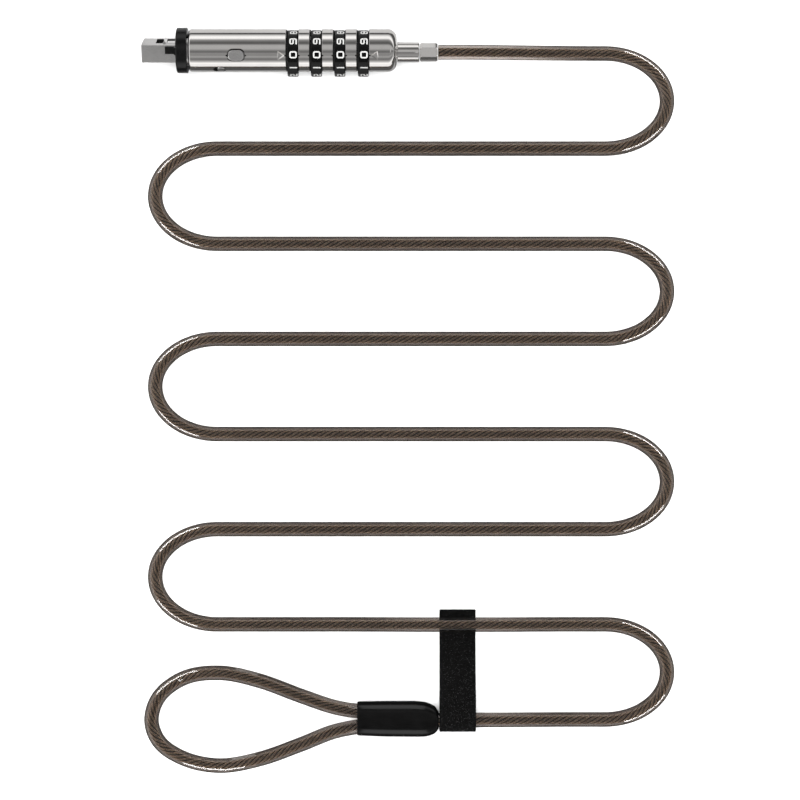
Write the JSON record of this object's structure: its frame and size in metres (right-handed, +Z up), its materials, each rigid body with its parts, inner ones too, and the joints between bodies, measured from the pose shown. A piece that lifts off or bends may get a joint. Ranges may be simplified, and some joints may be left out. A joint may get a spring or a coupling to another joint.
{
  "type": "laptop cable lock",
  "caption": "Combination lock head with a square nose, a push button and number dials, on a swivelling steel cable that ends in a sleeved loop, with a hook-and-loop strap.",
  "frame": {"origin": "on the table, under the middle of the lock head's box", "axes": "+X from the nose to the cable along the lock head, +Z up from the table, +Y towards the side of the head away from the coiled-out cable"},
  "size_m": [0.2114, 0.2961, 0.0185],
  "materials": {
    "nickel": "polished nickel plating",
    "satin_metal": "satin grey plating",
    "steel": "plain spring and pin steel",
    "brass": "plain turned brass",
    "zinc": "cast zinc",
    "bumper": "moulded black rubber",
    "dial_black": "black, with printed white digits",
    "sleeve_black": "glossy moulded black",
    "cable_jacket": "smoky clear vinyl over twisted steel strands",
    "strap_cloth": "brushed hook-and-loop nylon"
  },
  "bodies": {
    "cable_side": {"cable": "cable_jacket", "loop_crimp": "zinc", "loop_sleeve": "sleeve_black", "strap": "strap_cloth", "swivel_stem": "nickel", "swivel_clip": "steel", "hex_ferrule": "nickel"},
    "lock_head": {"nose_block": "satin_metal", "bumper_ring": "bumper", "latch_pin": "steel", "latch_spring": "steel", "nose_pin": "steel", "front_barrel": "nickel", "inner_frame": "zinc", "button_spring": "steel", "spacer_ring_1": "nickel", "spacer_ring_2": "nickel", "spacer_ring_3": "nickel", "rear_barrel": "nickel", "core_tube": "steel", "core_plug": "steel", "click_spring": "steel", "spindle_spring": "steel"},
    "dial_1_wheel": {"dial_1": "dial_black", "code_ring_1": "brass"},
    "dial_2_wheel": {"dial_2": "dial_black", "code_ring_2": "brass"},
    "dial_3_wheel": {"dial_3": "dial_black", "code_ring_3": "brass"},
    "dial_4_wheel": {"dial_4": "dial_black", "code_ring_4": "brass"},
    "button": {"release_button": "satin_metal"},
    "spindle_rod": {"spindle": "brass"},
    "push_bar": {"push_rod": "brass"},
    "latch": {"latch_arm": "satin_metal"},
    "reset": {"reset_screw": "satin_metal"}
  },
  "joints": [
    {"name": "head_swivel", "type": "hinge", "parent": "cable_side", "child": "lock_head", "pos_m": [-0.04435, -0.00005, 0.00928], "axis": [1, 0, 0], "continuous": true},
    {"name": "dial_1_turn", "type": "hinge", "parent": "lock_head", "child": "dial_1_wheel", "pos_m": [0.00115, -0.00052, 0.00909], "axis": [1, 0, 0], "continuous": true},
    {"name": "dial_2_turn", "type": "hinge", "parent": "lock_head", "child": "dial_2_wheel", "pos_m": [0.01043, -0.00052, 0.00909], "axis": [1, 0, 0], "continuous": true},
    {"name": "dial_3_turn", "type": "hinge", "parent": "lock_head", "child": "dial_3_wheel", "pos_m": [0.01971, -0.00052, 0.00909], "axis": [1, 0, 0], "continuous": true},
    {"name": "dial_4_turn", "type": "hinge", "parent": "lock_head", "child": "dial_4_wheel", "pos_m": [0.02899, -0.00052, 0.00909], "axis": [1, 0, 0], "continuous": true},
    {"name": "button_press", "type": "slide", "parent": "lock_head", "child": "button", "axis": [0, 0.3827, -0.9239], "range_m": [0, 0.0012], "stiffness_N_per_m": 500, "springref_m": -0.001, "deforming": ["button_spring"]},
    {"name": "spindle_slide", "type": "slide", "parent": "lock_head", "child": "spindle_rod", "axis": [1, 0, 0], "range_m": [0, 0.0012], "deforming": ["spindle_spring"]},
    {"name": "push_rod_slide", "type": "slide", "parent": "lock_head", "child": "push_bar", "axis": [-1, 0, 0], "range_m": [0, 0.0012]},
    {"name": "latch_tilt", "type": "hinge", "parent": "lock_head", "child": "latch", "pos_m": [-0.04215, 0.00239, 0.0103], "axis": [0, -0.3827, 0.9239], "range_deg": [0, 9], "deforming": ["latch_spring"]},
    {"name": "reset_turn", "type": "hinge", "parent": "lock_head", "child": "reset", "pos_m": [-0.0271, 0.00064, 0.00957], "axis": [0, -0.9588, 0.284], "range_deg": [0, 90]}
  ],
  "couplings": [
    {"joint": "spindle_slide", "follows": "button_press", "ratio": 1},
    {"joint": "push_rod_slide", "follows": "button_press", "ratio": 1},
    {"joint": "latch_tilt", "follows": "button_press", "rad_per_m": 130}
  ]
}
